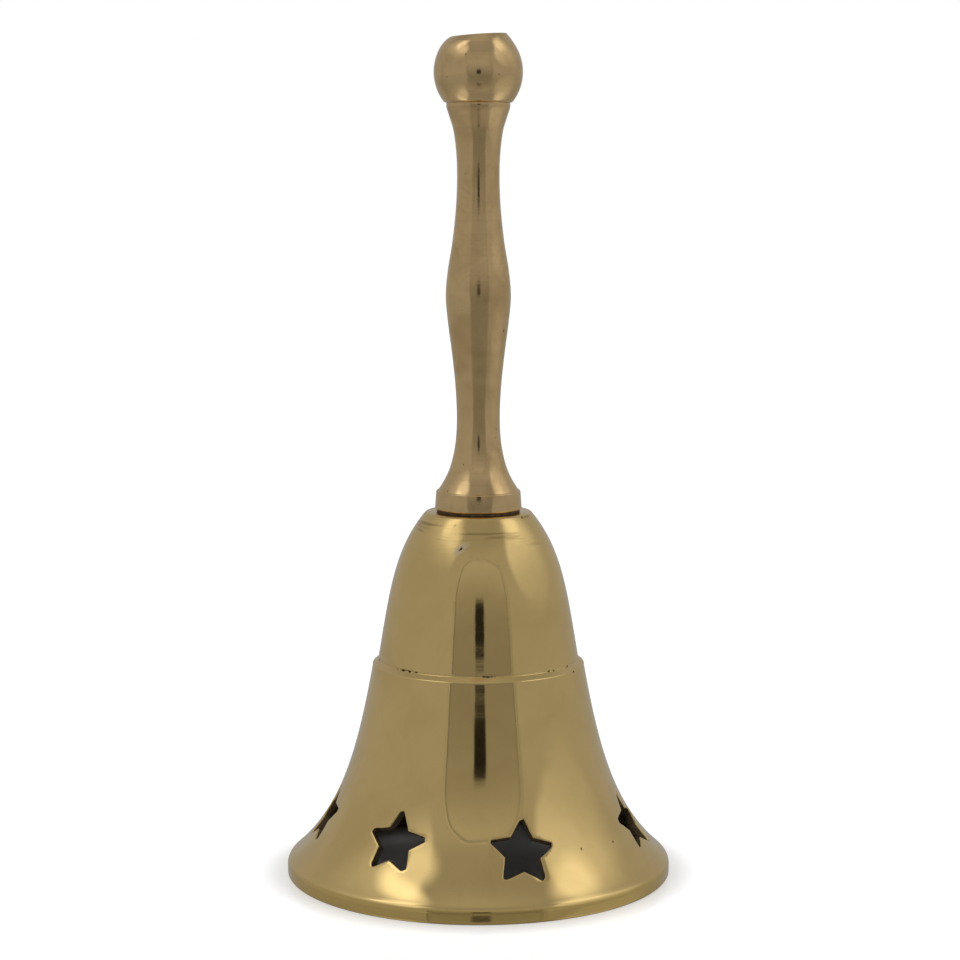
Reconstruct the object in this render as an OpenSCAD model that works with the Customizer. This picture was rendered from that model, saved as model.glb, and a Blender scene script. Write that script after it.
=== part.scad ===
// Brass hand bell with a turned handle, a star-pierced skirt and a hanging clapper.
// Millimetres, +Z up. The origin is the centre of the rim, on the plane it stands on.
// The bell's front faces -Y. Azimuths are counted from there towards +X.

/* [Bell] */
// Outside diameter of the mouth, over the lip band
mouth_d = 70.3; // [66:0.1:74]
// Height at which the flare turns over into the upright lip band
lip_h = 2.6; // [2.2:0.1:3.5]
// Radius of that turn
lip_round = 1.8; // [0.6:0.1:3]
// Width of the flat rim that the bell stands on
rim_w = 2.8; // [2.4:0.1:3.2]
// Height of the step between the skirt and the dome
step_h = 38.5; // [36:0.5:41]
// Diameter of the skirt at the step
step_d = 38.7; // [37:0.1:40]
// Width of the step's shoulder
step_w = 1.05; // [0.6:0.05:1.4]
// Height of the crown, where the handle sits
bell_h = 66.8; // [65:0.1:69]
// Diameter of the crown's flat top
crown_d = 19.1; // [17.6:0.1:19.6]
// Wall thickness of skirt and dome
wall = 1.9; // [1.6:0.1:2.2]
// Thickness of the crown
crown_t = 2.3; // [2:0.1:2.8]

/* [Stars] */
// Outer radius of a star
star_r = 5.8; // [4.5:0.1:6.2]
// Inner radius of a star, as a share of the outer one
star_inner = 0.53; // [0.45:0.01:0.6]
// Height of the stars' centres on the skirt
star_z = 10.8; // [9.5:0.1:12]

/* [Handle] */
// Diameter of the collar at the foot of the handle
collar_d = 15.8; // [14.5:0.1:17]
// Height of the collar band
collar_h = 3.4; // [2:0.1:4]
// Length of the turned stem above the collar
stem_l = 69.55; // [60:0.05:80]
// Diameter of the stem just above the collar
foot_d = 14.6; // [14:0.1:15.4]
// Diameter of the lower waist
waist_d = 7.8; // [7.4:0.1:9]
// Diameter of the bulge between the waists
bulge_d = 11.75; // [10:0.05:13]
// Diameter of the upper waist
neck_d = 7.6; // [7.2:0.1:9]
// Diameter of the stem's top, under the ball
seat_d = 11.4; // [10.6:0.1:12]
// Width of the ball at the top
ball_d = 15.9; // [15:0.1:17]
// Height the ball would have with its top and foot whole
ball_h = 16.6; // [15:0.1:17]
// Height of the ball's middle above the stem
ball_seat_h = 5.4; // [5:0.1:6]
// Height from the ball's middle to its flat top
ball_flat_h = 6.5; // [6:0.05:7]
// Slope of the ball's flat top
ball_flat_tilt = 3.8; // [0:0.1:5]
// Diameter of the stud that joins the ball to the stem
stud_d = 4; // [3:0.1:4.4]

/* [Clapper] */
// Diameter of the eye bolt's shank
shank_d = 4.8; // [4:0.1:5]
// Wire diameter of the eye
eye_wire_d = 2.2; // [1.8:0.1:2.4]
// Height of the eye's centre above the rim
eye_z = 55.4; // [54:0.1:56]
// Wire diameter of the link
link_wire_d = 1.6; // [1.4:0.1:1.8]
// Distance between the link's two pivots
link_pitch = 8; // [7.5:0.1:10]
// Wire diameter of the clapper rod
rod_d = 1.8; // [1.5:0.1:2]
// Diameter of the clapper ball
clapper_d = 13; // [11:0.1:14]
// Height of the clapper ball's centre above the rim
clapper_z = 16; // [14:0.1:17]

/* [Hidden] */
$fn = 64;

brass = "#b79a55";
handle_brass = "#a98a58";
steel = "#8d8f92";
fibre = "#2b2420";

eps = 0.01;
run_gap = 0.05;         // radial gap where a plain shank stands in for a thread
loop_gap = 0.4;         // radial gap between two wire loops that hang in each other
washer_t = 0.45;        // packing washer between the crown and the collar
washer_d = 15.2;
inner_washer_t = 0.8;
inner_washer_d = 13;
nut_af = 8;             // across the flats
nut_h = 2.7;
crown_hole_d = shank_d + 0.4;
thread_depth = 12;      // how far the eye bolt goes into the handle
stud_depth = 9;         // how far the stud goes into the stem, and into the ball
rod_head_h = 0.6;       // peened end under the clapper ball

mouth_r = mouth_d / 2;
step_r = step_d / 2;
crown_r = crown_d / 2;
skirt_lean = 0.146;     // slope of the skirt where the flare has died away
flare_l = 10.5;         // height over which the flare falls by a factor e
dome_lean = 0.167;      // slope of the dome's lower part
dome_power = 4.3;        // how late the dome turns in towards the crown
crown_round = 0.6;
groove = 0.1;           // depth of the crevice where the dome rises from the step

dome_z = step_h + 1.3;
dome_base_r = step_r - step_w;
collar_z = bell_h + washer_t;
stem_z = collar_z + collar_h;
seat_z = stem_z + stem_l;
ball_z = seat_z + ball_seat_h;

// Star places, set out and sawn by hand, so neither evenly spaced nor upright:
// azimuth, turn in the surface, and lift from the common height
stars = [[-84, 8, 0.3], [-32, 0, 0.5], [16, -5, -0.2], [79, -5, -0.5],
         [128, 6, -0.1], [178, -4, 0.2], [227, 9, 0]];

link_r = (eye_wire_d + link_wire_d) / 2 + loop_gap;
rod_eye_r = (link_wire_d + rod_d) / 2 + loop_gap;
eye_r = link_wire_d + eye_wire_d / 2 + loop_gap / 2;
pivot_z = eye_z - eye_r;                // the link swings about X here
hook_z = pivot_z - link_pitch;          // the clapper swings about Y here

function between(a, b, share) = a + (b - a) * share;

function arc(r, z, radius, from, to, steps = 6) =
    [for (i = [0 : steps])
        let (a = between(from, to, i / steps))
        [r + radius * cos(a), z + radius * sin(a)]];

// Outer radius of the skirt: a slightly leaning wall plus a flare that dies away upwards
flare = (mouth_r - step_r - skirt_lean * (step_h - lip_h))
    / (exp(-lip_h / flare_l) - exp(-step_h / flare_l));
skirt_r = function (z) step_r + skirt_lean * (step_h - z)
    + flare * (exp(-z / flare_l) - exp(-step_h / flare_l));

// Outer radius of the dome: a lean, then a turn towards the crown
dome_turn = dome_base_r - dome_lean * (bell_h - dome_z) - crown_r;
dome_r = function (z) dome_base_r - dome_lean * (z - dome_z)
    - dome_turn * pow((z - dome_z) / (bell_h - dome_z), dome_power);

function slope(f, z) = (f(z + eps) - f(z - eps)) / (2 * eps);

// Point of the inner face: one wall thickness in, square to the outer face
function inset(f, z) =
    let (s = slope(f, z), k = wall / sqrt(1 + s * s))
    [f(z) - k, z + k * s];

// Smooth curve r(z) through [z, r] knots, as [r, z] points
function knot_slope(k, i) =
    let (a = k[max(i - 1, 0)], b = k[min(i + 1, len(k) - 1)])
    (b[1] - a[1]) / (b[0] - a[0]);
function hermite(k, i, t) =
    let (h = k[i + 1][0] - k[i][0], t2 = t * t, t3 = t2 * t)
    [(2 * t3 - 3 * t2 + 1) * k[i][1] + (t3 - 2 * t2 + t) * h * knot_slope(k, i)
        + (3 * t2 - 2 * t3) * k[i + 1][1] + (t3 - t2) * h * knot_slope(k, i + 1),
     k[i][0] + h * t];
function smooth(k, steps = 3) =
    [for (i = [0 : len(k) - 2], j = [0 : steps - 1]) hermite(k, i, j / steps),
     [k[len(k) - 1][1], k[len(k) - 1][0]]];

// Stem profile, foot to seat: share of the stem's length, then the radius there
stem_knots = let (foot = foot_d / 2, waist = waist_d / 2, bulge = bulge_d / 2,
                  neck = neck_d / 2, seat = seat_d / 2)
    [for (k = [[0, foot],
               [0.033, between(waist, foot, 0.6)],
               [0.069, between(waist, foot, 0.305)],
               [0.126, between(waist, foot, 0.07)],
               [0.191, waist],
               [0.270, between(waist, bulge, 0.12)],
               [0.356, between(waist, bulge, 0.43)],
               [0.442, between(waist, bulge, 0.82)],
               [0.507, bulge],
               [0.572, between(neck, bulge, 0.81)],
               [0.644, between(neck, bulge, 0.42)],
               [0.730, between(neck, bulge, 0.11)],
               [0.809, neck],
               [0.874, between(neck, seat, 0.08)],
               [0.931, between(neck, seat, 0.35)],
               [0.963, between(neck, seat, 0.7)],
               [0.989, seat],
               [1, seat]])
        [stem_z + stem_l * k[0], k[1]]];

module star_outline(radius) {
    polygon([for (i = [0 : 9])
        let (a = 90 + 36 * i, r = i % 2 == 0 ? radius : radius * star_inner)
        [r * cos(a), r * sin(a)]]);
}

// One sawn star, square to the skirt at its height
module star_cut(turn, z) {
    tilt = atan(-slope(skirt_r, z));
    translate([0, -skirt_r(z), z])
        rotate([90 - tilt, 0, 0])
            rotate([0, 0, turn])
                linear_extrude(height = 4 * wall, center = true)
                    star_outline(star_r);
}

module tube(r_out, r_in, h) {
    difference() {
        cylinder(r = r_out, h = h);
        translate([0, 0, -1])
            cylinder(r = r_in, h = h + 2);
    }
}

// Ring of round wire standing in the XZ plane, centred on the origin
module wire_eye(radius, wire_r) {
    rotate([90, 0, 0])
        rotate_extrude()
            translate([radius, 0])
                circle(r = wire_r);
}

module bell_shell() {
    turn = atan(-slope(skirt_r, lip_h));
    turn_z = lip_h - lip_round * tan(turn / 2);
    lip = concat([[mouth_r - 0.35, 0], [mouth_r - 0.1, 0.1], [mouth_r, 0.35]],
                 arc(mouth_r - lip_round, turn_z, lip_round, 0, turn, 4));
    skirt = [for (i = [0 : 22])
        let (z = between(turn_z + lip_round * sin(turn) + 0.2, step_h, pow(i / 22, 1.4)))
        [skirt_r(z), z]];
    step = concat(arc(step_r - 0.35, step_h + 0.25, 0.35, 20, 60, 2),
                  [[dome_base_r + 0.2, dome_z - 0.22], [dome_base_r - groove, dome_z - 0.05]]);
    dome = [for (i = [0 : 14])
        let (z = between(dome_z + 0.3, bell_h - crown_round, i / 14))
        [dome_r(z), z]];
    crown = arc(crown_r - crown_round / 2, bell_h - crown_round, crown_round, 50, 90, 3);
    top_in = [for (i = [0 : 8])
        let (z = between(bell_h - crown_t - 1, dome_z + 4, i / 8))
        inset(dome_r, z)];
    low_in = [for (i = [0 : 16])
        let (z = between(step_h - 4, lip_h + 1.4, pow(i / 16, 0.8)))
        inset(skirt_r, z)];
    crown_in_z = bell_h - crown_t;
    outline = concat([[mouth_r - rim_w, 0]], lip, skirt, step, dome, crown,
                     [[0, bell_h], [0, crown_in_z], [crown_r - 2.2, crown_in_z]],
                     top_in, low_in);
    color(brass)
        difference() {
            rotate_extrude()
                polygon(outline);
            translate([0, 0, crown_in_z - 1])
                cylinder(d = crown_hole_d, h = crown_t + 2);
            for (s = stars)
                rotate([0, 0, s[0]])
                    star_cut(s[1], star_z + s[2]);
        }
}

module crown_washer() {
    color(fibre)
        translate([0, 0, bell_h])
            tube(washer_d / 2, crown_hole_d / 2, washer_t);
}

module handle_stem() {
    collar_r = collar_d / 2;
    outline = concat([[0, collar_z], [collar_r - 0.3, collar_z], [collar_r, collar_z + 0.3]],
                     [[collar_r - 0.25, stem_z - 0.5], [collar_r - 0.35, stem_z - 0.2],
                      [collar_r - 0.55, stem_z]],
                     smooth(stem_knots),
                     [[0, seat_z]]);
    color(handle_brass)
        difference() {
            rotate_extrude()
                polygon(outline);
            translate([0, 0, collar_z - 1])
                cylinder(r = shank_d / 2 + run_gap, h = thread_depth + 2);
            translate([0, 0, seat_z - stud_depth - 0.5])
                cylinder(r = stud_d / 2 + run_gap, h = stud_depth + 2);
        }
}

module finial_stud() {
    color(steel)
        translate([0, 0, seat_z - stud_depth])
            cylinder(d = stud_d, h = 2 * stud_depth);
}

module finial_ball() {
    color(handle_brass)
        difference() {
            translate([0, 0, ball_z])
                rotate_extrude()
                    polygon([for (a = [-90 : 7.5 : 90])
                        [ball_d / 2 * cos(a), ball_h / 2 * sin(a)]]);
            translate([-ball_d, -ball_d, seat_z - ball_d])
                cube([2 * ball_d, 2 * ball_d, ball_d]);
            translate([0, 0, ball_z + ball_flat_h])
                rotate([0, -ball_flat_tilt, 0])
                    translate([-ball_d, -ball_d, 0])
                        cube([2 * ball_d, 2 * ball_d, ball_d]);
            translate([0, 0, seat_z - 1])
                cylinder(r = stud_d / 2 + run_gap, h = stud_depth + 1.5);
        }
}

module inner_washer() {
    color(steel)
        translate([0, 0, bell_h - crown_t - inner_washer_t])
            tube(inner_washer_d / 2, crown_hole_d / 2, inner_washer_t);
}

module lock_nut() {
    color(steel)
        translate([0, 0, bell_h - crown_t - inner_washer_t - nut_h])
            difference() {
                cylinder(d = nut_af / cos(30), h = nut_h, $fn = 6);
                translate([0, 0, -1])
                    cylinder(r = shank_d / 2 + run_gap, h = nut_h + 2);
            }
}

module eye_bolt() {
    shank_z = eye_z + eye_r;
    color(steel) {
        translate([0, 0, shank_z])
            cylinder(d = shank_d, h = collar_z + thread_depth - shank_z);
        translate([0, 0, eye_z])
            wire_eye(eye_r, eye_wire_d / 2);
    }
}

module link_ring() {
    half = link_pitch / 2 - link_r / 2;
    mid_z = pivot_z - half;
    color(steel)
        translate([0, 0, mid_z])
            rotate([90, 0, 90]) {
                for (end = [0, 180])
                    rotate([0, 0, end])
                        translate([0, half])
                            rotate_extrude(angle = 180)
                                translate([link_r, 0])
                                    circle(d = link_wire_d);
                for (side = [-1, 1])
                    translate([side * link_r, -half, 0])
                        rotate([-90, 0, 0])
                            cylinder(d = link_wire_d, h = 2 * half);
            }
}

module clapper_rod() {
    bottom = clapper_z - clapper_d / 2;
    top = hook_z - rod_eye_r;
    color(steel) {
        translate([0, 0, hook_z])
            wire_eye(rod_eye_r, rod_d / 2);
        translate([0, 0, bottom - eps])
            cylinder(d = rod_d, h = top - bottom + eps);
        translate([0, 0, bottom - rod_head_h])
            cylinder(d1 = rod_d, d2 = 1.6 * rod_d, h = rod_head_h);
    }
}

module clapper_ball() {
    color(brass)
        difference() {
            translate([0, 0, clapper_z])
                sphere(d = clapper_d);
            translate([0, 0, clapper_z - clapper_d])
                cylinder(r = rod_d / 2 + run_gap, h = 2 * clapper_d);
        }
}

bell_shell();
crown_washer();
handle_stem();
finial_stud();
finial_ball();
inner_washer();
lock_nut();
eye_bolt();
link_ring();
clapper_rod();
clapper_ball();
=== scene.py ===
# Brass hand bell with a turned handle and a hanging clapper: finished pieces, finishes and studio.
# Shapes are worked in millimetres and go into Blender in metres. The front faces -Y.
import math
import random
from bisect import bisect_right

import bmesh
import bpy
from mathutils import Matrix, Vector, noise
from mathutils.geometry import delaunay_2d_cdt


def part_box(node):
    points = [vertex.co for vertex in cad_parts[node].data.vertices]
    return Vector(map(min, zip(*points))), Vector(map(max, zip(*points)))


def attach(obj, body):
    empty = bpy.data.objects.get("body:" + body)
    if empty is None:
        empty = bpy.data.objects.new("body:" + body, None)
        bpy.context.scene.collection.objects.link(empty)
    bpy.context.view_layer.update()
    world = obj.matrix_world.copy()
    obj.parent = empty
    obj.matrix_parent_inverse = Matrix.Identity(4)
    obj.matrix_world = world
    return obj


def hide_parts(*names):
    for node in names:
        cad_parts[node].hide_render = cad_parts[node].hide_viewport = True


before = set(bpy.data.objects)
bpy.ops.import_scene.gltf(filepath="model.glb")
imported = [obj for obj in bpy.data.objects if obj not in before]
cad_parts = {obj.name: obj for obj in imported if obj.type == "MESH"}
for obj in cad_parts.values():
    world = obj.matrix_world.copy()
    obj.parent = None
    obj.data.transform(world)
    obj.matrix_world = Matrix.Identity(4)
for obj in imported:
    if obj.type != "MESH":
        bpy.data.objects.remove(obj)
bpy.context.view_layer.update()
print("frame loaded:", ", ".join(sorted(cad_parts)))

mm = 0.001
fullTurn = 2 * math.pi

studio = {
    "cameraPlace": (0.0003, -0.4489, 0.13035),
    "cameraTilt": 7.35,  # degrees down
    "lens": 93.5,
    "wallGlow": 0.41,  # brightness of the tent's walls in reflections
    "ceilingGlow": 0.345,
    "ceilingStart": (36, 50),  # degrees up, where the walls pass into the ceiling
    "overheadStart": (62, 84),
    "overheadGlow": 0.43,
    "openingGlow": (0.23, 0.44),  # the tent's front opening, at its foot and its top
    "openingMiddle": 0.05,
    "openingSize": (0.675, 0.44),
    "openingFoot": -0.1,
    "softboxGlow": 1.5,
    "tableHalf": 2.2,
    "tableGlow": 0.69,  # lifts the table to white for the camera only
    "tableMirror": 0.7,  # how much of a mirror the table is in the metal's reflections
}
# Cloth lit by a softbox outside: places and fades in degrees round and up, fadeUp with its least value
leftCloth = {
    "centre": (-84, 38),
    "size": (44, 27),
    "soft": 0.07,
    "fadeUp": (22, 44, 0.0),
    "fadeRound": (-134, -100),
}
rightCloth = {
    "centre": (96, 32),
    "size": (46, 26),
    "soft": 0.09,
    "fadeUp": (2, 42, 0.12),
    "fadeRound": (130, 100),
}
leftClothGlow = {"round": (-105, -42), "glow": (0.55, 0.74)}
rightClothGlow = 0.76
# Bright cores in the cloth: centre, size and glow
clothCores = (((-78, 58), (15, 13), 1.45), ((-57, 50), (17, 10), 0.95), ((88, 50), (17, 11), 1.12))
coreSoftness = 0.55


# Links sockets and sets plain values on a node's inputs
def feed(tree, node, values):
    for key, value in values.items():
        if isinstance(value, bpy.types.NodeSocket):
            tree.links.new(value, node.inputs[key])
        else:
            node.inputs[key].default_value = value


def place(tree, kind, values=None, **settings):
    node = tree.nodes.new(kind)
    for key, value in settings.items():
        setattr(node, key, value)
    feed(tree, node, values or {})
    return node


def calc(tree, operation, first, second=0.0, third=None):
    values = {0: first, 1: second}
    if third is not None:
        values[2] = third
    return place(tree, "ShaderNodeMath", values, operation=operation).outputs[0]


def spread(tree, value, low, high, toLow=0.0, toHigh=1.0, soft=True):
    kind = "SMOOTHSTEP" if soft else "LINEAR"
    values = {"Value": value, "From Min": low, "From Max": high, "To Min": toLow, "To Max": toHigh}
    return place(tree, "ShaderNodeMapRange", values, interpolation_type=kind).outputs[0]


def skyDirection(azimuth, elevation):
    turn = math.radians(azimuth)
    lift = math.radians(elevation)
    return Vector((math.sin(turn) * math.cos(lift), -math.cos(turn) * math.cos(lift), math.sin(lift)))


# Softly bounded oval on the tent's cloth, in degrees round and degrees up
def clothPatch(tree, azimuth, elevation, centre, size, soft):
    across = calc(tree, "DIVIDE", calc(tree, "SUBTRACT", azimuth, centre[0]), size[0])
    upward = calc(tree, "DIVIDE", calc(tree, "SUBTRACT", elevation, centre[1]), size[1])
    spot = place(tree, "ShaderNodeCombineXYZ", {0: across, 1: upward}).outputs[0]
    reach = place(tree, "ShaderNodeVectorMath", {0: spot}, operation="LENGTH").outputs["Value"]
    return spread(tree, reach, 1 - soft, 1 + soft, 1.0, 0.0)


def litCloth(tree, azimuth, elevation, cloth):
    low, high, least = cloth["fadeUp"]
    start, end = cloth["fadeRound"]
    lit = clothPatch(tree, azimuth, elevation, cloth["centre"], cloth["size"], cloth["soft"])
    lit = calc(tree, "MULTIPLY", lit, spread(tree, elevation, low, high, least, 1.0))
    return calc(tree, "MULTIPLY", lit, spread(tree, azimuth, start, end))


def blendGlow(tree, share, first, second):
    return place(tree, "ShaderNodeMix", {"Factor": share, "A": first, "B": second}).outputs[0]


def buildTent():
    world = bpy.data.worlds.new("tent")
    bpy.context.scene.world = world
    world.use_nodes = True
    tree = world.node_tree
    tree.nodes.clear()
    direction = place(tree, "ShaderNodeTexCoord").outputs["Generated"]
    parts = place(tree, "ShaderNodeSeparateXYZ", {0: direction}).outputs
    towardsFront = calc(tree, "MULTIPLY", parts["Y"], -1.0)
    azimuth = calc(tree, "MULTIPLY", calc(tree, "ARCTAN2", parts["X"], towardsFront), math.degrees(1))
    elevation = calc(tree, "MULTIPLY", calc(tree, "ARCSINE", parts["Z"]), math.degrees(1))
    ceilingLow, ceilingHigh = studio["ceilingStart"]
    wall = spread(tree, elevation, ceilingLow, ceilingHigh, studio["wallGlow"], studio["ceilingGlow"])
    # the cloth glows where each softbox lights it from outside
    left = litCloth(tree, azimuth, elevation, leftCloth)
    glowStart, glowEnd = leftClothGlow["round"]
    leastGlow, mostGlow = leftClothGlow["glow"]
    leftGlow = spread(tree, azimuth, glowStart, glowEnd, leastGlow, mostGlow, False)
    right = litCloth(tree, azimuth, elevation, rightCloth)
    wall = blendGlow(tree, left, wall, leftGlow)
    wall = blendGlow(tree, right, wall, rightClothGlow)
    for centre, size, glow in clothCores:
        core = clothPatch(tree, azimuth, elevation, centre, size, coreSoftness)
        wall = blendGlow(tree, core, wall, glow)
    overheadLow, overheadHigh = studio["overheadStart"]
    overhead = spread(tree, elevation, overheadLow, overheadHigh)
    wall = blendGlow(tree, overhead, wall, studio["overheadGlow"])
    seen = place(tree, "ShaderNodeLightPath").outputs["Is Camera Ray"]
    strength = blendGlow(tree, seen, wall, 1.0)
    cloth = place(tree, "ShaderNodeBackground", {"Color": (1, 1, 1, 1), "Strength": strength})
    place(tree, "ShaderNodeOutputWorld", {"Surface": cloth.outputs[0]})


# Glowing card material, evenly bright or fading from its foot to its top
def glowMaterial(name, low, high, lowHeight=0.05, highHeight=0.36):
    material = bpy.data.materials.new(name)
    material.use_nodes = True
    tree = material.node_tree
    tree.nodes.clear()
    position = place(tree, "ShaderNodeTexCoord").outputs["Object"]
    level = place(tree, "ShaderNodeSeparateXYZ", {0: position}).outputs["Z"]
    strength = spread(tree, level, lowHeight, highHeight, low, high, False)
    glow = place(tree, "ShaderNodeEmission", {"Color": (1, 1, 1, 1), "Strength": strength})
    place(tree, "ShaderNodeOutputMaterial", {"Surface": glow.outputs[0]})
    return material


# Upright card with round corners, seen only in reflections
def studioCard(name, middle, width, low, high, y, corner, glow):
    bottom = low + corner
    top = high - corner
    side = width / 2 - corner
    outline = []
    corners = ((side, bottom, -90), (side, top, 0), (-side, top, 90), (-side, bottom, 180))
    for cornerX, cornerZ, start in corners:
        for step in range(13):
            angle = math.radians(start + 90 * step / 12)
            x = middle + cornerX + corner * math.cos(angle)
            outline.append((x, y, cornerZ + corner * math.sin(angle)))
    mesh = bpy.data.meshes.new(name)
    mesh.from_pydata(outline, [], [list(range(len(outline)))])
    mesh.materials.append(glowMaterial(name + "Glow", glow[0], glow[1]))
    card = bpy.data.objects.new(name, mesh)
    bpy.context.scene.collection.objects.link(card)
    card.visible_camera = False
    card.visible_shadow = False


# Round lamp at this azimuth, this far from the bell and this high, aimed at the bell
def softbox(name, azimuth, distance, height, size, glow):
    lamp = bpy.data.lights.new(name, "AREA")
    lamp.shape = "DISK"
    lamp.size = size
    lamp.energy = glow * math.pi * math.pi * size * size / 4
    holder = bpy.data.objects.new(name, lamp)
    holder.location = skyDirection(azimuth, 0) * distance + Vector((0, 0, height))
    aim = holder.location - Vector((0, 0, 0.06))
    holder.rotation_euler = aim.to_track_quat("Z", "Y").to_euler()
    holder.visible_camera = False
    holder.visible_glossy = False  # the cloth in front of it is what the metal shows
    bpy.context.scene.collection.objects.link(holder)


def buildTable():
    half = studio["tableHalf"]
    corners = [(-half, -half, 0), (half, -half, 0), (half, half, 0), (-half, half, 0)]
    mesh = bpy.data.meshes.new("table")
    mesh.from_pydata(corners, [], [(0, 1, 2, 3)])
    material = bpy.data.materials.new("tableTop")
    material.use_nodes = True
    tree = material.node_tree
    tree.nodes.clear()
    position = place(tree, "ShaderNodeTexCoord").outputs["Object"]
    flat = place(tree, "ShaderNodeVectorMath", {0: position, 1: (1, 1, 0)}, operation="MULTIPLY").outputs[0]
    away = place(tree, "ShaderNodeVectorMath", {0: flat}, operation="LENGTH").outputs["Value"]
    # no lift inside the bell, and less close to its rim: a painted soft shadow round the bell's foot
    rim = spread(tree, away, 0.0352, 0.0415, 0.62, 1.0)
    liftWithRimShadow = calc(tree, "MULTIPLY", calc(tree, "GREATER_THAN", away, 0.0345), rim)
    seen = place(tree, "ShaderNodeLightPath").outputs["Is Camera Ray"]
    lift = calc(tree, "MULTIPLY", calc(tree, "MULTIPLY", seen, liftWithRimShadow), studio["tableGlow"])
    # in the metal's reflections the glossy top shows more of the tent than of its own white
    mirrored = place(tree, "ShaderNodeLightPath").outputs["Is Glossy Ray"]
    gloss = calc(tree, "MULTIPLY", mirrored, studio["tableMirror"])
    surface = place(tree, "ShaderNodeBsdfPrincipled",
                    {"Base Color": (0.8, 0.8, 0.79, 1), "Roughness": 0.06, "Emission Color": (1, 1, 1, 1),
                     "Emission Strength": lift, "Metallic": gloss})
    # clear from below, so that the bell can be looked at from underneath
    below = place(tree, "ShaderNodeNewGeometry").outputs["Backfacing"]
    clear = place(tree, "ShaderNodeBsdfTransparent")
    either = place(tree, "ShaderNodeMixShader", {0: below, 1: surface.outputs[0], 2: clear.outputs[0]})
    place(tree, "ShaderNodeOutputMaterial", {"Surface": either.outputs[0]})
    mesh.materials.append(material)
    table = bpy.data.objects.new("table", mesh)
    bpy.context.scene.collection.objects.link(table)


def buildCamera():
    camera = bpy.data.cameras.new("frontCamera")
    camera.lens = studio["lens"]
    camera.sensor_width = 36
    camera.clip_start = 0.01
    holder = bpy.data.objects.new("frontCamera", camera)
    holder.location = studio["cameraPlace"]
    holder.rotation_euler = (math.radians(90 - studio["cameraTilt"]), 0, 0)
    bpy.context.scene.collection.objects.link(holder)
    bpy.context.scene.camera = holder


buildCamera()
buildTent()
buildTable()
softbox("leftSoftbox", -80, 0.30, 0.46, 0.075, studio["softboxGlow"])
softbox("rightSoftbox", 93, 0.50, 0.50, 0.07, studio["softboxGlow"] * 0.85)
# Layers of the tent's opening, back to front: shift, added width and height, distance, corner, glow
openingLayers = (
    ("openingHem", 0.006, 0.06, 0.026, 0.506, 0.26, (0.26, 0.33)),
    ("openingBorder", 0.0, 0.028, 0.014, 0.503, 0.25, (0.50, 0.56)),
    ("openingLine", 0.0, 0.0, 0.0, 0.5, 0.24, (0.14, 0.2)),
    ("opening", 0.0, -0.032, -0.016, 0.497, 0.225, studio["openingGlow"]),
)
openingWidth, openingTop = studio["openingSize"]
for name, shift, wider, taller, away, corner, glow in openingLayers:
    studioCard(name, studio["openingMiddle"] + shift, openingWidth + wider, studio["openingFoot"],
               openingTop + taller, -away, corner, glow)
studioCard("lensShade", 0.012, 0.088, 0.1035, 0.177, -0.452, 0.012, (0.015, 0.015))
studioCard("gripShade", 0.012, 0.076, 0.0972, 0.1015, -0.452, 0.002, (0.02, 0.02))
bpy.context.scene.view_settings.view_transform = "Standard"
print("studio ready")


def newGroup(name, inputs, outputs):
    group = bpy.data.node_groups.new(name, "ShaderNodeTree")
    for label, kind, value in inputs:
        socket = group.interface.new_socket(label, in_out="INPUT", socket_type="NodeSocket" + kind)
        if value is not None:
            socket.default_value = value
    for label, kind in outputs:
        group.interface.new_socket(label, in_out="OUTPUT", socket_type="NodeSocket" + kind)
    start = group.nodes.new("NodeGroupInput")
    end = group.nodes.new("NodeGroupOutput")
    return group, start.outputs, end.inputs


# Fine lines left by the lathe and the buffing wheel, running round the piece
def makeTurningMarks():
    inputs = (("Position", "Vector", None), ("Lines", "Float", 9000.0), ("Length", "Float", 70.0))
    group, given, result = newGroup("turningMarks", inputs, (("Height", "Float"), ("Scratches", "Float")))
    scale = place(group, "ShaderNodeCombineXYZ", {0: given["Length"], 1: given["Length"], 2: given["Lines"]})
    stretched = place(group, "ShaderNodeVectorMath", {0: given["Position"], 1: scale.outputs[0]},
                      operation="MULTIPLY")
    fine = place(group, "ShaderNodeTexNoise", {"Vector": stretched.outputs[0], "Scale": 1.0, "Detail": 3.0,
                                               "Roughness": 0.65})
    coarse = place(group, "ShaderNodeTexNoise", {"Vector": stretched.outputs[0], "Scale": 0.31, "Detail": 2.0,
                                                 "Roughness": 0.5})
    group.links.new(fine.outputs[0], result["Height"])
    group.links.new(spread(group, coarse.outputs[0], 0.57, 0.68), result["Scratches"])
    return group


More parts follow.
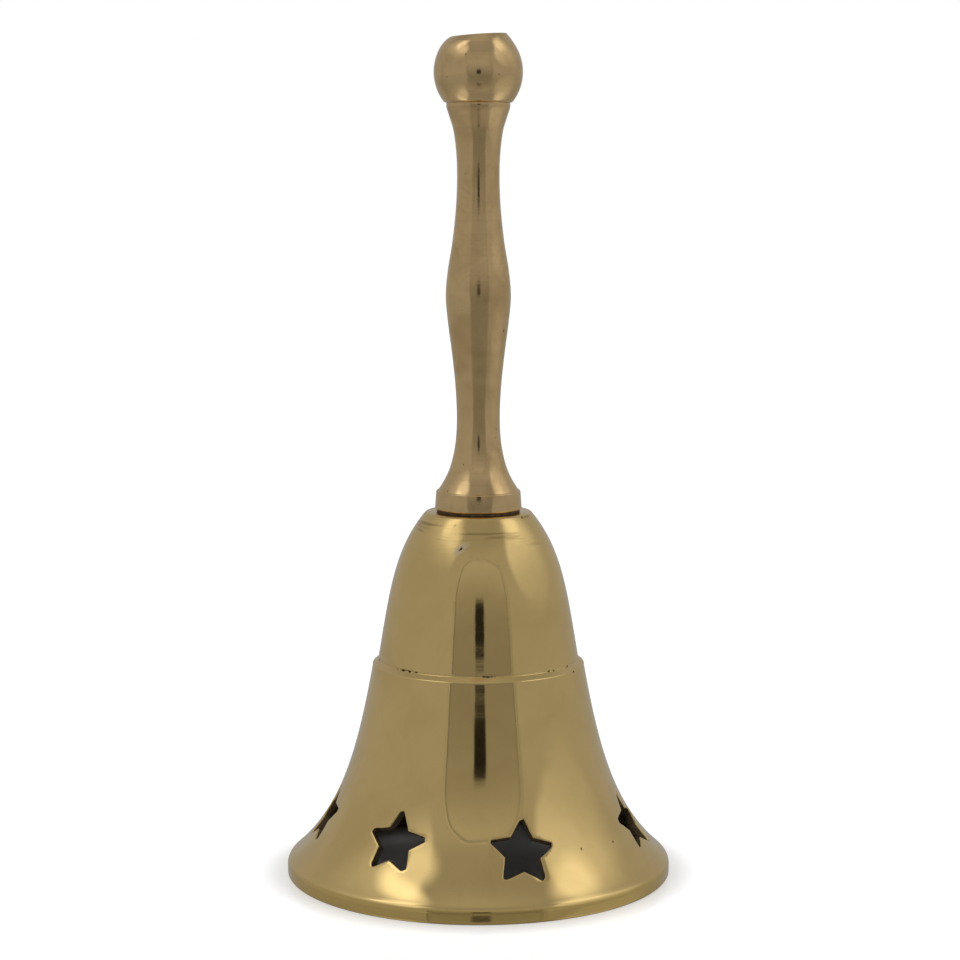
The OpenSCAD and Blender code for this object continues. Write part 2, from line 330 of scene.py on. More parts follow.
# Small round holes in the casting
def makeCastingPits():
    inputs = (("Position", "Vector", None), ("Scale", "Float", 400.0), ("Size", "Float", 0.2),
              ("Share", "Float", 0.1))
    group, given, result = newGroup("castingPits", inputs, (("Pits", "Float"), ("Height", "Float")))
    wobble = place(group, "ShaderNodeTexNoise", {"Vector": given["Position"], "Scale": 2600.0, "Detail": 1.0})
    nudge = place(group, "ShaderNodeVectorMath", {0: wobble.outputs["Color"], 1: (0.5, 0.5, 0.5)},
                  operation="SUBTRACT")
    small = place(group, "ShaderNodeVectorMath", {0: nudge.outputs[0], "Scale": 0.0005}, operation="SCALE")
    moved = place(group, "ShaderNodeVectorMath", {0: given["Position"], 1: small.outputs[0]}, operation="ADD")
    cells = place(group, "ShaderNodeTexVoronoi", {"Vector": moved.outputs[0], "Scale": given["Scale"]})
    chance = place(group, "ShaderNodeSeparateColor", {0: cells.outputs["Color"]})
    least = calc(group, "SUBTRACT", 1.0, given["Share"])
    chosen = calc(group, "GREATER_THAN", chance.outputs[0], least)
    size = calc(group, "MULTIPLY", given["Size"], calc(group, "ADD", chance.outputs[1], 0.35))
    edge = calc(group, "DIVIDE", cells.outputs["Distance"], size)
    hollow = calc(group, "MULTIPLY", spread(group, edge, 0.45, 1.0, 1.0, 0.0), chosen)
    group.links.new(hollow, result["Pits"])
    group.links.new(calc(group, "MULTIPLY", hollow, -1.0), result["Height"])
    return group


# Brass that is dull in clouds where hands and air have been at it
def makeTarnish():
    inputs = (("Position", "Vector", None), ("Bright", "Color", (0.8, 0.58, 0.25, 1)),
              ("Dull", "Color", (0.6, 0.45, 0.2, 1)), ("Scale", "Float", 90.0), ("Amount", "Float", 0.5))
    group, given, result = newGroup("tarnish", inputs, (("Color", "Color"), ("Cloud", "Float")))
    broad = place(group, "ShaderNodeTexNoise", {"Vector": given["Position"], "Scale": given["Scale"],
                                                "Detail": 5.0, "Roughness": 0.6, "Distortion": 0.6})
    cloud = calc(group, "MULTIPLY", spread(group, broad.outputs[0], 0.4, 0.7), given["Amount"])
    color = place(group, "ShaderNodeMix", {0: cloud, 6: given["Bright"], 7: given["Dull"]}, data_type="RGBA")
    group.links.new(color.outputs[2], result["Color"])
    group.links.new(cloud, result["Cloud"])
    return group


# Dirt and polish paste packed into a crevice that runs round the piece at one height
def makeCreviceDirt():
    inputs = (("Position", "Vector", None), ("Height", "Float", 0.04), ("Width", "Float", 0.0004),
              ("Breaks", "Float", 300.0), ("Cover", "Float", 0.5))
    group, given, result = newGroup("creviceDirt", inputs, (("Dirt", "Float"),))
    level = place(group, "ShaderNodeSeparateXYZ", {0: given["Position"]}).outputs["Z"]
    away = calc(group, "ABSOLUTE", calc(group, "SUBTRACT", level, given["Height"]))
    band = spread(group, calc(group, "DIVIDE", away, given["Width"]), 0.4, 1.0, 1.0, 0.0)
    broken = place(group, "ShaderNodeTexNoise", {"Vector": given["Position"], "Scale": given["Breaks"],
                                                 "Detail": 3.0, "Roughness": 0.7})
    least = calc(group, "SUBTRACT", 0.82, calc(group, "MULTIPLY", given["Cover"], 0.6))
    crumbs = spread(group, calc(group, "SUBTRACT", broken.outputs[0], least), 0.0, 0.08)
    group.links.new(calc(group, "MULTIPLY", band, crumbs), result["Dirt"])
    return group


# One knock in the surface: a dark nick with a scuffed patch round it
def makeKnock():
    inputs = (("Position", "Vector", None), ("Centre", "Vector", None), ("Size", "Float", 0.0006))
    group, given, result = newGroup("knock", inputs, (("Nick", "Float"), ("Scuff", "Float")))
    offset = place(group, "ShaderNodeVectorMath", {0: given["Position"], 1: given["Centre"]},
                   operation="SUBTRACT")
    turned = place(group, "ShaderNodeVectorRotate", {"Vector": offset.outputs[0], "Angle": math.radians(38)},
                   rotation_type="Y_AXIS")
    squeezed = place(group, "ShaderNodeVectorMath", {0: turned.outputs[0], 1: (0.6, 0.6, 1.5)},
                     operation="MULTIPLY")
    ragged = place(group, "ShaderNodeTexNoise", {"Vector": given["Position"], "Scale": 3000.0, "Detail": 2.0})
    reach = place(group, "ShaderNodeVectorMath", {0: squeezed.outputs[0]}, operation="LENGTH")
    share = calc(group, "DIVIDE", reach.outputs["Value"], given["Size"])
    rough = calc(group, "ADD", share, calc(group, "MULTIPLY", ragged.outputs[0], 0.8))
    group.links.new(spread(group, rough, 0.8, 1.2, 1.0, 0.0), result["Nick"])
    group.links.new(spread(group, rough, 1.2, 3.4, 1.0, 0.0), result["Scuff"])
    return group


turningMarks = makeTurningMarks()
castingPits = makeCastingPits()
tarnish = makeTarnish()
creviceDirt = makeCreviceDirt()
knock = makeKnock()


def useGroup(tree, group, values):
    node = tree.nodes.new("ShaderNodeGroup")
    node.node_tree = group
    feed(tree, node, values)
    return node


def blendColor(tree, share, first, second):
    return place(tree, "ShaderNodeMix", {0: share, 6: first, 7: second}, data_type="RGBA").outputs[2]


def addBump(tree, height, depth, normal=None):
    values = {"Height": height, "Strength": 1.0, "Distance": depth}
    if normal is not None:
        values["Normal"] = normal
    return place(tree, "ShaderNodeBump", values).outputs[0]


def newFinish(name):
    material = bpy.data.materials.new(name)
    material.use_nodes = True
    material.node_tree.nodes.clear()
    tree = material.node_tree
    return material, tree, place(tree, "ShaderNodeTexCoord").outputs["Object"]


def closeFinish(tree, color, roughness, normal, metallic):
    values = {"Base Color": color, "Roughness": roughness, "Normal": normal, "Metallic": metallic}
    surface = place(tree, "ShaderNodeBsdfPrincipled", values)
    place(tree, "ShaderNodeOutputMaterial", {"Surface": surface.outputs[0]})


bellFinish = {
    "bright": (0.80, 0.585, 0.245, 1),
    "dull": (0.70, 0.50, 0.20, 1),
    # darker, more olive brass painted on the lip band: painted shade for the darker reflection it shows
    "lip": (0.70, 0.50, 0.18, 1),
    "dirt": (0.035, 0.024, 0.012, 1),
    "scratch": (0.42, 0.29, 0.12, 1),
    "scuff": (0.62, 0.55, 0.43, 1),
    "roughness": 0.05,
    "rippleDepth": 0.00003,
    "markDepth": 0.0000016,
    "crownMarkDepth": 0.00002,
    "pitDepth": 0.00008,
    "knockPlace": (-0.00305, -0.0123, 0.0617),
    "knockSize": 0.0005,
    "ledgePit": (0.0170, -0.0089, 0.0388),
    "ledgePitSize": 0.00035,
}


def makeBellBrass(stepHeight, crownHeight, lipHeight):
    look = bellFinish
    material, tree, position = newFinish("buffedBellBrass")
    level = place(tree, "ShaderNodeSeparateXYZ", {0: position}).outputs["Z"]
    skin = useGroup(tree, tarnish, {"Position": position, "Bright": look["bright"], "Dull": look["dull"],
                                    "Scale": 70.0, "Amount": 0.6})
    marks = useGroup(tree, turningMarks, {"Position": position, "Lines": 8200.0, "Length": 90.0})
    deepMarks = useGroup(tree, turningMarks, {"Position": position, "Lines": 3600.0, "Length": 260.0})
    pits = useGroup(tree, castingPits, {"Position": position, "Scale": 330.0, "Size": 0.09, "Share": 0.07})
    step = useGroup(tree, creviceDirt, {"Position": position, "Height": stepHeight, "Width": 0.00024,
                                        "Breaks": 270.0, "Cover": 0.46})
    crown = useGroup(tree, creviceDirt, {"Position": position, "Height": crownHeight - 0.0006,
                                         "Width": 0.0011, "Breaks": 1100.0, "Cover": 0.3})
    nick = useGroup(tree, knock, {"Position": position, "Centre": look["knockPlace"],
                                  "Size": look["knockSize"]})
    ledge = useGroup(tree, knock, {"Position": position, "Centre": look["ledgePit"],
                                   "Size": look["ledgePitSize"]})
    nearCrown = spread(tree, level, crownHeight - 0.009, crownHeight - 0.0015)
    # the lip band below lipHeight gets a painted darker colour, standing in for its darker reflection
    lipShadeBand = spread(tree, level, lipHeight + 0.00005, lipHeight - 0.0001)
    color = blendColor(tree, lipShadeBand, skin.outputs["Color"], look["lip"])
    scratches = calc(tree, "MULTIPLY", deepMarks.outputs["Scratches"], nearCrown)
    color = blendColor(tree, calc(tree, "MULTIPLY", scratches, 0.75), color, look["scratch"])
    color = blendColor(tree, calc(tree, "MULTIPLY", nick.outputs["Scuff"], 0.5), color, look["scuff"])
    dirt = calc(tree, "MAXIMUM", step.outputs[0], crown.outputs[0])
    dirt = calc(tree, "MAXIMUM", dirt, calc(tree, "MULTIPLY", pits.outputs["Pits"], 0.7))
    dirt = calc(tree, "MAXIMUM", dirt, calc(tree, "MAXIMUM", nick.outputs["Nick"], ledge.outputs["Nick"]))
    color = blendColor(tree, dirt, color, look["dirt"])
    roughness = calc(tree, "ADD", look["roughness"], calc(tree, "MULTIPLY", skin.outputs["Cloud"], 0.07))
    roughness = calc(tree, "ADD", roughness, calc(tree, "MULTIPLY", nearCrown, 0.1))
    offStep = calc(tree, "ABSOLUTE", calc(tree, "SUBTRACT", level, stepHeight - 0.0003))
    roughness = calc(tree, "ADD", roughness, spread(tree, offStep, 0.0003, 0.0008, 0.16, 0.0))
    roughness = calc(tree, "ADD", roughness, calc(tree, "MULTIPLY", nick.outputs["Scuff"], 0.3))
    roughness = calc(tree, "MAXIMUM", roughness, calc(tree, "MULTIPLY", dirt, 0.7))
    stretched = place(tree, "ShaderNodeMapping", {"Vector": position, "Scale": (90, 90, 260)})
    ripple = place(tree, "ShaderNodeTexNoise", {"Vector": stretched.outputs[0], "Scale": 1.0, "Detail": 1.0})
    normal = addBump(tree, ripple.outputs[0], look["rippleDepth"])
    normal = addBump(tree, marks.outputs["Height"], look["markDepth"], normal)
    rough = calc(tree, "MULTIPLY", deepMarks.outputs["Height"], nearCrown)
    normal = addBump(tree, rough, look["crownMarkDepth"], normal)
    hollows = calc(tree, "SUBTRACT", pits.outputs["Height"], nick.outputs["Nick"])
    normal = addBump(tree, hollows, look["pitDepth"], normal)
    closeFinish(tree, color, roughness, normal, 1.0)
    return material


handleFinish = {
    "bright": (0.76, 0.54, 0.27, 1),
    "dull": (0.58, 0.395, 0.185, 1),
    "dirt": (0.05, 0.032, 0.018, 1),
    "roughness": 0.12,
    "ringDepth": 0.000012,
    "markDepth": 0.000003,
    "pitDepth": 0.00012,
}


def makeHandleBrass(name, seamHeight, shift):
    look = handleFinish
    material, tree, position = newFinish(name)
    moved = place(tree, "ShaderNodeVectorMath", {0: position, 1: (shift, 0.0, 0.0)},
                  operation="ADD").outputs[0]
    skin = useGroup(tree, tarnish, {"Position": moved, "Bright": look["bright"], "Dull": look["dull"],
                                    "Scale": 160.0, "Amount": 0.75})
    marks = useGroup(tree, turningMarks, {"Position": moved, "Lines": 6500.0, "Length": 110.0})
    rings = useGroup(tree, turningMarks, {"Position": moved, "Lines": 1500.0, "Length": 12.0})
    pits = useGroup(tree, castingPits, {"Position": moved, "Scale": 430.0, "Size": 0.13, "Share": 0.2})
    specks = useGroup(tree, castingPits, {"Position": moved, "Scale": 900.0, "Size": 0.16, "Share": 0.12})
    seam = useGroup(tree, creviceDirt, {"Position": position, "Height": seamHeight, "Width": 0.00012,
                                        "Breaks": 500.0, "Cover": 0.6})
    hollow = calc(tree, "MAXIMUM", pits.outputs["Pits"], calc(tree, "MULTIPLY", specks.outputs["Pits"], 0.6))
    packed = calc(tree, "MULTIPLY", seam.outputs[0], 0.15)
    dirt = calc(tree, "MAXIMUM", calc(tree, "MULTIPLY", hollow, 0.8), packed)
    lines = calc(tree, "MULTIPLY", marks.outputs["Scratches"], 0.22)
    color = blendColor(tree, lines, skin.outputs["Color"], look["dull"])
    color = blendColor(tree, dirt, color, look["dirt"])
    roughness = calc(tree, "ADD", look["roughness"], calc(tree, "MULTIPLY", skin.outputs["Cloud"], 0.08))
    roughness = calc(tree, "MAXIMUM", roughness, calc(tree, "MULTIPLY", dirt, 0.7))
    normal = addBump(tree, rings.outputs["Height"], look["ringDepth"])
    normal = addBump(tree, marks.outputs["Height"], look["markDepth"], normal)
    normal = addBump(tree, calc(tree, "MULTIPLY", hollow, -1.0), look["pitDepth"], normal)
    closeFinish(tree, color, roughness, normal, 1.0)
    return material


innerFinish = {
    "bright": (0.36, 0.27, 0.16, 1),
    "dull": (0.13, 0.095, 0.06, 1),
    "dirt": (0.04, 0.03, 0.02, 1),
    "grainDepth": 0.00009,
    "pitDepth": 0.00012,
}


# As-cast brass on the inside and in the sawn edges
def makeRawBrass():
    look = innerFinish
    material, tree, position = newFinish("rawCastBrass")
    skin = useGroup(tree, tarnish, {"Position": position, "Bright": look["bright"], "Dull": look["dull"],
                                    "Scale": 130.0, "Amount": 1.0})
    pits = useGroup(tree, castingPits, {"Position": position, "Scale": 700.0, "Size": 0.3, "Share": 0.3})
    sand = place(tree, "ShaderNodeTexNoise", {"Vector": position, "Scale": 2400.0, "Detail": 4.0,
                                              "Roughness": 0.7})
    packed = calc(tree, "MULTIPLY", pits.outputs["Pits"], 0.8)
    color = blendColor(tree, packed, skin.outputs["Color"], look["dirt"])
    roughness = spread(tree, sand.outputs[0], 0.3, 0.7, 0.42, 0.68)
    normal = addBump(tree, sand.outputs[0], look["grainDepth"])
    normal = addBump(tree, pits.outputs["Height"], look["pitDepth"], normal)
    closeFinish(tree, color, roughness, normal, 1.0)
    return material


clapperFinish = {
    "bright": (0.70, 0.50, 0.22, 1),
    "dull": (0.40, 0.28, 0.13, 1),
    "dirt": (0.06, 0.04, 0.02, 1),
    "roughness": 0.24,
    "markDepth": 0.000009,
    "pitDepth": 0.00008,
}


def makeClapperBrass():
    look = clapperFinish
    material, tree, position = newFinish("turnedClapperBrass")
    skin = useGroup(tree, tarnish, {"Position": position, "Bright": look["bright"], "Dull": look["dull"],
                                    "Scale": 320.0, "Amount": 0.9})
    marks = useGroup(tree, turningMarks, {"Position": position, "Lines": 5200.0, "Length": 60.0})
    pits = useGroup(tree, castingPits, {"Position": position, "Scale": 800.0, "Size": 0.16, "Share": 0.15})
    worn = calc(tree, "MULTIPLY", pits.outputs["Pits"], 0.7)
    color = blendColor(tree, worn, skin.outputs["Color"], look["dirt"])
    roughness = calc(tree, "ADD", look["roughness"], calc(tree, "MULTIPLY", skin.outputs["Cloud"], 0.15))
    normal = addBump(tree, marks.outputs["Height"], look["markDepth"])
    normal = addBump(tree, pits.outputs["Height"], look["pitDepth"], normal)
    closeFinish(tree, color, roughness, normal, 1.0)
    return material


steelFinish = {
    "bright": (0.44, 0.44, 0.43, 1),
    "dull": (0.23, 0.225, 0.21, 1),
    "rust": (0.12, 0.055, 0.025, 1),
    "markDepth": 0.000006,
    "spotDepth": 0.00003,
}


# Plated steel that has dulled and begun to spot
def makeSteel(name, scale, roughBase):
    look = steelFinish
    material, tree, position = newFinish(name)
    skin = useGroup(tree, tarnish, {"Position": position, "Bright": look["bright"], "Dull": look["dull"],
                                    "Scale": scale, "Amount": 0.9})
    marks = useGroup(tree, turningMarks, {"Position": position, "Lines": 7000.0, "Length": 900.0})
    spots = useGroup(tree, castingPits, {"Position": position, "Scale": 900.0, "Size": 0.4, "Share": 0.12})
    rusted = calc(tree, "MULTIPLY", spots.outputs["Pits"], 0.6)
    color = blendColor(tree, rusted, skin.outputs["Color"], look["rust"])
    roughness = calc(tree, "ADD", roughBase, calc(tree, "MULTIPLY", skin.outputs["Cloud"], 0.2))
    normal = addBump(tree, marks.outputs["Height"], look["markDepth"])
    normal = addBump(tree, spots.outputs["Height"], look["spotDepth"], normal)
    closeFinish(tree, color, roughness, normal, 1.0)
    return material


fibreFinish = {"dark": (0.10, 0.074, 0.048, 1), "worn": (0.25, 0.19, 0.12, 1), "fuzzDepth": 0.00008}


def makeFibre():
    look = fibreFinish
    material, tree, position = newFinish("pressedFibre")
    skin = useGroup(tree, tarnish, {"Position": position, "Bright": look["dark"], "Dull": look["worn"],
                                    "Scale": 700.0, "Amount": 0.8})
    stretched = place(tree, "ShaderNodeMapping", {"Vector": position, "Scale": (1500, 1500, 6000)})
    fuzz = place(tree, "ShaderNodeTexNoise", {"Vector": stretched.outputs[0], "Scale": 1.0, "Detail": 4.0,
                                              "Roughness": 0.75})
    roughness = spread(tree, fuzz.outputs[0], 0.3, 0.7, 0.7, 0.95)
    normal = addBump(tree, fuzz.outputs[0], look["fuzzDepth"])
    closeFinish(tree, skin.outputs["Color"], roughness, normal, 0.0)
    return material


def between(start, end, share):
    return start + (end - start) * share


def arcPoints(r, z, radius, start, end, steps):
    points = []
    for step in range(steps + 1):
        angle = math.radians(between(start, end, step / steps))
        points.append((r + radius * math.cos(angle), z + radius * math.sin(angle)))
    return points


# Rounds the corner at (r, z) between two faces whose normals point at these angles
def roundCorner(r, z, start, end, radius, steps):
    half = math.radians(end - start) / 2
    middle = math.radians(start + end) / 2
    reach = radius / math.cos(half)
    return arcPoints(r - reach * math.cos(middle), z - reach * math.sin(middle), radius, start, end, steps)


def heightsOf(node):
    low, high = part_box(node)
    return low[2] / mm, high[2] / mm


# Turns a profile of (r, z) points about the Z axis. A point on the axis becomes one vertex.
def lathe(profile, segments, closed=False):
    verts = []
    rows = []
    for r, z in profile:
        if r < 1e-6:
            rows.append([len(verts)] * segments)
            verts.append((0, 0, z))
            continue
        rows.append(list(range(len(verts), len(verts) + segments)))
        for step in range(segments):
            angle = fullTurn * step / segments
            verts.append((r * math.sin(angle), -r * math.cos(angle), z))
    faces = []
    pairs = list(zip(rows, rows[1:]))
    if closed:
        pairs.append((rows[-1], rows[0]))
    for low, high in pairs:
        for step in range(segments):
            after = (step + 1) % segments
            corners = [low[step], low[after], high[after], high[step]]
            face = [c for i, c in enumerate(corners) if c not in corners[:i]]
            if len(face) > 2:
                faces.append(face)
    return verts, faces


# Sweeps round wire along points that lie in one plane, with a radius for each point
def sweepWire(points, radii, planeNormal, sides, closed):
    verts = []
    faces = []
    count = len(points)
    for i, point in enumerate(points):
        if closed:
            tangent = points[(i + 1) % count] - points[i - 1]
        else:
            tangent = points[min(i + 1, count - 1)] - points[max(i - 1, 0)]
        side = tangent.normalized().cross(planeNormal)
        for step in range(sides):
            angle = fullTurn * step / sides
            verts.append(point + (side * math.cos(angle) + planeNormal * math.sin(angle)) * radii[i])
    for i in range(count if closed else count - 1):
        for step in range(sides):
            after = (step + 1) % sides
            low = i * sides
            high = (i + 1) % count * sides
            faces.append((low + step, low + after, high + after, high + step))
    if not closed:
        faces.append(tuple(range(sides)))
        faces.append(tuple(reversed(range((count - 1) * sides, count * sides))))
    return verts, faces


def finishPiece(name, verts, faces, body, finishes, stands, sharp=32, picks=None, normals=None):
    mesh = bpy.data.meshes.new(name)
    mesh.from_pydata([Vector(v) * mm for v in verts], [], faces)
    for finish in finishes:
        mesh.materials.append(finish)
    if picks:
        mesh.polygons.foreach_set("material_index", picks)
    work = bmesh.new()
    work.from_mesh(mesh)
    bmesh.ops.recalc_face_normals(work, faces=work.faces)
    loose = sum(1 for edge in work.edges if not edge.is_manifold)
    work.to_mesh(mesh)
    work.free()
    mesh.shade_smooth()
    mesh.set_sharp_from_angle(angle=math.radians(sharp))
    if normals:
        mesh.normals_split_custom_set_from_vertices(normals)
    piece = bpy.data.objects.new(name, mesh)
    bpy.context.scene.collection.objects.link(piece)
    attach(piece, body)
    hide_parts(*stands)
    print(name, "made,", len(mesh.polygons), "faces,", loose, "open edges")
    return piece


bell = {
    "segments": 288,
    "rowGap": 0.5,
    "lipHeight": 2.6,
    "lipRound": 1.8,
    "lipKick": 0.11,  # the flare spreads a little faster just before the lip
    "rimWidth": 2.8,
    "rimRound": 0.4,
    "stepHeight": 38.5,
    "stepRadius": 19.35,
    "stepWidth": 1.05,
    "shoulderRound": 0.35,
    "crevice": 0.1,
    "skirtLean": 0.146,
    "flareLength": 10.5,
    "domeLean": 0.167,
    "domePower": 4.3,
    "crownRadius": 9.55,
    "crownRound": 0.8,
    "wall": 1.9,
    "crownThickness": 2.3,
    "boltHole": 2.6,
}
bellTop = heightsOf("bell_shell")[1]
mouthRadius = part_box("bell_shell")[1][0] / mm
domeFoot = bell["stepHeight"] + 1.3
domeFootRadius = bell["stepRadius"] - bell["stepWidth"]


def flareShare(z):
    return math.exp(-z / bell["flareLength"]) - math.exp(-bell["stepHeight"] / bell["flareLength"])


straightLean = bell["skirtLean"] * (bell["stepHeight"] - bell["lipHeight"])
flareSpan = mouthRadius - bell["lipKick"] - bell["stepRadius"] - straightLean
flare = flareSpan / flareShare(bell["lipHeight"])
domeTurn = domeFootRadius - bell["domeLean"] * (bellTop - domeFoot) - bell["crownRadius"]


def skirtRadius(z):
    kick = bell["lipKick"] * math.exp((bell["lipHeight"] - z) / 0.8)
    return bell["stepRadius"] + bell["skirtLean"] * (bell["stepHeight"] - z) + flare * flareShare(z) + kick


def domeRadius(z):
    share = (z - domeFoot) / (bellTop - domeFoot)
    return domeFootRadius - bell["domeLean"] * (z - domeFoot) - domeTurn * abs(share) ** bell["domePower"]


def slopeOf(shape, z):
    return (shape(z + 0.01) - shape(z - 0.01)) / 0.02


# Point of the inner face, one wall thickness in, square to the outer face
def insetPoint(shape, z):
    slope = slopeOf(shape, z)
    share = bell["wall"] / math.sqrt(1 + slope * slope)
    return (shape(z) - share, z + share * slope)


def normalAngle(shape, z):
    return math.degrees(math.atan(-slopeOf(shape, z)))


def spacedHeights(start, end, gap):
    steps = max(1, round(abs(end - start) / gap))
    return [between(start, end, i / steps) for i in range(steps + 1)]


def outerProfile():
    gap = bell["rowGap"]
    rim = mouthRadius - bell["rimWidth"]
    rows = [(rim + 0.2, 0), (rim + 1.2, 0)]
    rows += roundCorner(mouthRadius, 0, -90, 0, bell["rimRound"], 6)
    rows.append((mouthRadius, 1.0))
    flareAngle = normalAngle(skirtRadius, bell["lipHeight"])
    rows += roundCorner(mouthRadius, bell["lipHeight"], 0, flareAngle, bell["lipRound"], 10)
    flareStart = rows[-1][1] + 0.25
    skirtStart = len(rows)
    rows += [(skirtRadius(z), z) for z in spacedHeights(flareStart, 5.5, gap / 2)]
    rows += [(skirtRadius(z), z) for z in spacedHeights(6, bell["stepHeight"] + 0.15, gap)]
    skirtEnd = len(rows)
    shoulder = bell["stepRadius"] - bell["shoulderRound"]
    rows += arcPoints(shoulder, bell["stepHeight"] + 0.25, bell["shoulderRound"], 14, 60, 5)
    foot = domeFootRadius - bell["crevice"]
    rows += [(foot + 0.3, domeFoot - 0.22), (foot + 0.12, domeFoot - 0.12), (foot + 0.02, domeFoot - 0.04),
             (foot, domeFoot + 0.08), (foot + 0.02, domeFoot + 0.2)]
    domeStart = len(rows)
    rows += [(domeRadius(z), z) for z in spacedHeights(domeFoot + 0.45, bellTop - 0.75, gap)]
    domeEnd = len(rows)
    domeAngle = normalAngle(domeRadius, bellTop - 0.3)
    rows += roundCorner(bell["crownRadius"], bellTop, domeAngle, 90, bell["crownRound"], 5)
    hole = bell["boltHole"]
    rows += [(7.4, bellTop), (5, bellTop), (hole + 0.15, bellTop), (hole, bellTop - 0.15)]
    return rows, (skirtStart, skirtEnd), (domeStart, domeEnd)


def innerProfile():
    gap = bell["rowGap"]
    hole = bell["boltHole"]
    under = bellTop - bell["crownThickness"]
    rows = [(hole, under + 0.15), (hole + 0.15, under), (4.6, under), (6.9, under), (8.1, under - 0.35),
            (9.1, under - 1.05)]
    rows += [insetPoint(domeRadius, z) for z in spacedHeights(under - 1, domeFoot + 4, gap * 1.4)]
    top = rows[-1]
    low = insetPoint(skirtRadius, bell["stepHeight"] - 4)
    rows += [(between(top[0], low[0], i / 10), between(top[1], low[1], i / 10)) for i in range(1, 10)]
    skirtHeights = spacedHeights(bell["stepHeight"] - 4, bell["lipHeight"] + 1.4, gap)
    rows += [insetPoint(skirtRadius, z) for z in skirtHeights]
    last = rows[-1]
    rim = mouthRadius - bell["rimWidth"]
    rows += [(between(last[0], rim, i / 5), between(last[1], 0.2, i / 5)) for i in range(1, 6)]
    return rows


starCut = {"height": 10.8, "radius": 5.8, "inner": 0.565, "tipWidth": 0.72, "wobble": 0.075, "edgeRound": 0.2}
# The seven stars: azimuth and turn in degrees, lift in millimetres, and size as a share
starPlaces = [
    {"azimuth": -84, "turn": 8, "lift": 0.3, "size": 1.0},
    {"azimuth": -32, "turn": 0, "lift": 0.5, "size": 0.98},
    {"azimuth": 16, "turn": -5, "lift": -0.2, "size": 1.02},
    {"azimuth": 79, "turn": -5, "lift": -0.5, "size": 1.0},
    {"azimuth": 128, "turn": 6, "lift": -0.1, "size": 1.01},
    {"azimuth": 178, "turn": -4, "lift": 0.2, "size": 0.99},
    {"azimuth": 227, "turn": 9, "lift": 0.0, "size": 1.0},
]


# Hand-sawn outline, anticlockwise from outside: blunt tips, wavering sides
def starOutline(star, seed):
    chance = random.Random(seed)
    corners = []
    for tip in range(5):
        angle = math.radians(90 + 72 * tip + star["turn"] + chance.uniform(-2, 2))
        reach = starCut["radius"] * star["size"] * chance.uniform(0.965, 1.01)
        out = Vector((math.cos(angle), math.sin(angle)))
        side = Vector((-out.y, out.x))
        half = starCut["tipWidth"] / 2 * chance.uniform(0.7, 1.3)
        skew = chance.uniform(-0.18, 0.18)
        corners.append(out * (reach - skew) - side * half)
        corners.append(out * (reach + skew) + side * half)
        angle += math.radians(36 + chance.uniform(-1.5, 1.5))
        dip = starCut["radius"] * starCut["inner"] * star["size"] * chance.uniform(0.97, 1.03)
        corners.append(Vector((math.cos(angle), math.sin(angle))) * dip)
    points = []
    for i, corner in enumerate(corners):
        after = corners[(i + 1) % len(corners)]
        run = after - corner
        steps = max(2, round(run.length / 0.32))
        across = Vector((run.y, -run.x)).normalized()
        for step in range(steps):
            point = corner + run * (step / steps)
            slow = noise.noise(Vector((point.x * 0.7, point.y * 0.7, seed * 3.1)))
            quick = noise.noise(Vector((point.x * 2.6, point.y * 2.6, seed * 7.7)))
            points.append(point + across * (slow + quick * 0.6) * starCut["wobble"])
    return points


def growOutline(points, distance):
    grown = []
    for i, point in enumerate(points):
        run = points[(i + 1) % len(points)] - points[i - 1]
        grown.append(point + Vector((run.y, -run.x)).normalized() * distance)
    return grown


def insideOutline(point, outline):
    inside = False
    before = outline[-1]
    for after in outline:
        if (after.y > point.y) != (before.y > point.y):
            cross = before.x + (point.y - before.y) * (after.x - before.x) / (after.y - before.y)
            if point.x < cross:
                inside = not inside
        before = after
    return inside


def gapToOutline(point, outline):
    best = math.inf
    before = outline[-1]
    for after in outline:
        run = after - before
        share = max(0.0, min(1.0, (point - before).dot(run) / run.length_squared))
        best = min(best, (before + run * share - point).length)
        before = after
    return best


# Radius and slope of a face of the wall, read off its rows
class WallFace:
    def __init__(self, rows, firstRow):
        self.rows = rows
        self.firstRow = firstRow
        ordered = sorted((z, r) for r, z in rows)
        self.heights = [z for z, r in ordered]
        self.radii = [r for z, r in ordered]

    def radiusAndSlope(self, z):
        i = min(max(bisect_right(self.heights, z) - 1, 0), len(self.heights) - 2)
        slope = (self.radii[i + 1] - self.radii[i]) / (self.heights[i + 1] - self.heights[i])
        return self.radii[i] + slope * (z - self.heights[i]), slope


class StarPlane:
    def __init__(self, star):
        azimuth = math.radians(star["azimuth"])
        height = starCut["height"] + star["lift"]
        tilt = math.radians(normalAngle(skirtRadius, height))
        radius = skirtRadius(height)
        self.azimuth = azimuth
        self.centre = Vector((radius * math.sin(azimuth), -radius * math.cos(azimuth), height))
        level = math.cos(tilt)
        self.out = Vector((math.sin(azimuth) * level, -math.cos(azimuth) * level, math.sin(tilt)))
        self.across = Vector((math.cos(azimuth), math.sin(azimuth), 0))
        self.along = self.out.cross(self.across)

    def flat(self, point):
        offset = Vector(point) - self.centre
        return Vector((offset.dot(self.across), offset.dot(self.along)))

    # how far out of the plane the wall's face is at this flat point
    def depthOn(self, face, flat, start):
        base = self.centre + self.across * flat.x + self.along * flat.y
        depth = start
        for _ in range(10):
            point = base + self.out * depth
            radius, slope = face.radiusAndSlope(point.z)
            reach = math.hypot(point.x, point.y)
            rate = (point.x * self.out.x + point.y * self.out.y) / reach - slope * self.out.z
            depth -= (reach - radius) / rate
        return depth

    def solid(self, flat, depth):
        return self.centre + self.across * flat.x + self.along * flat.y + self.out * depth


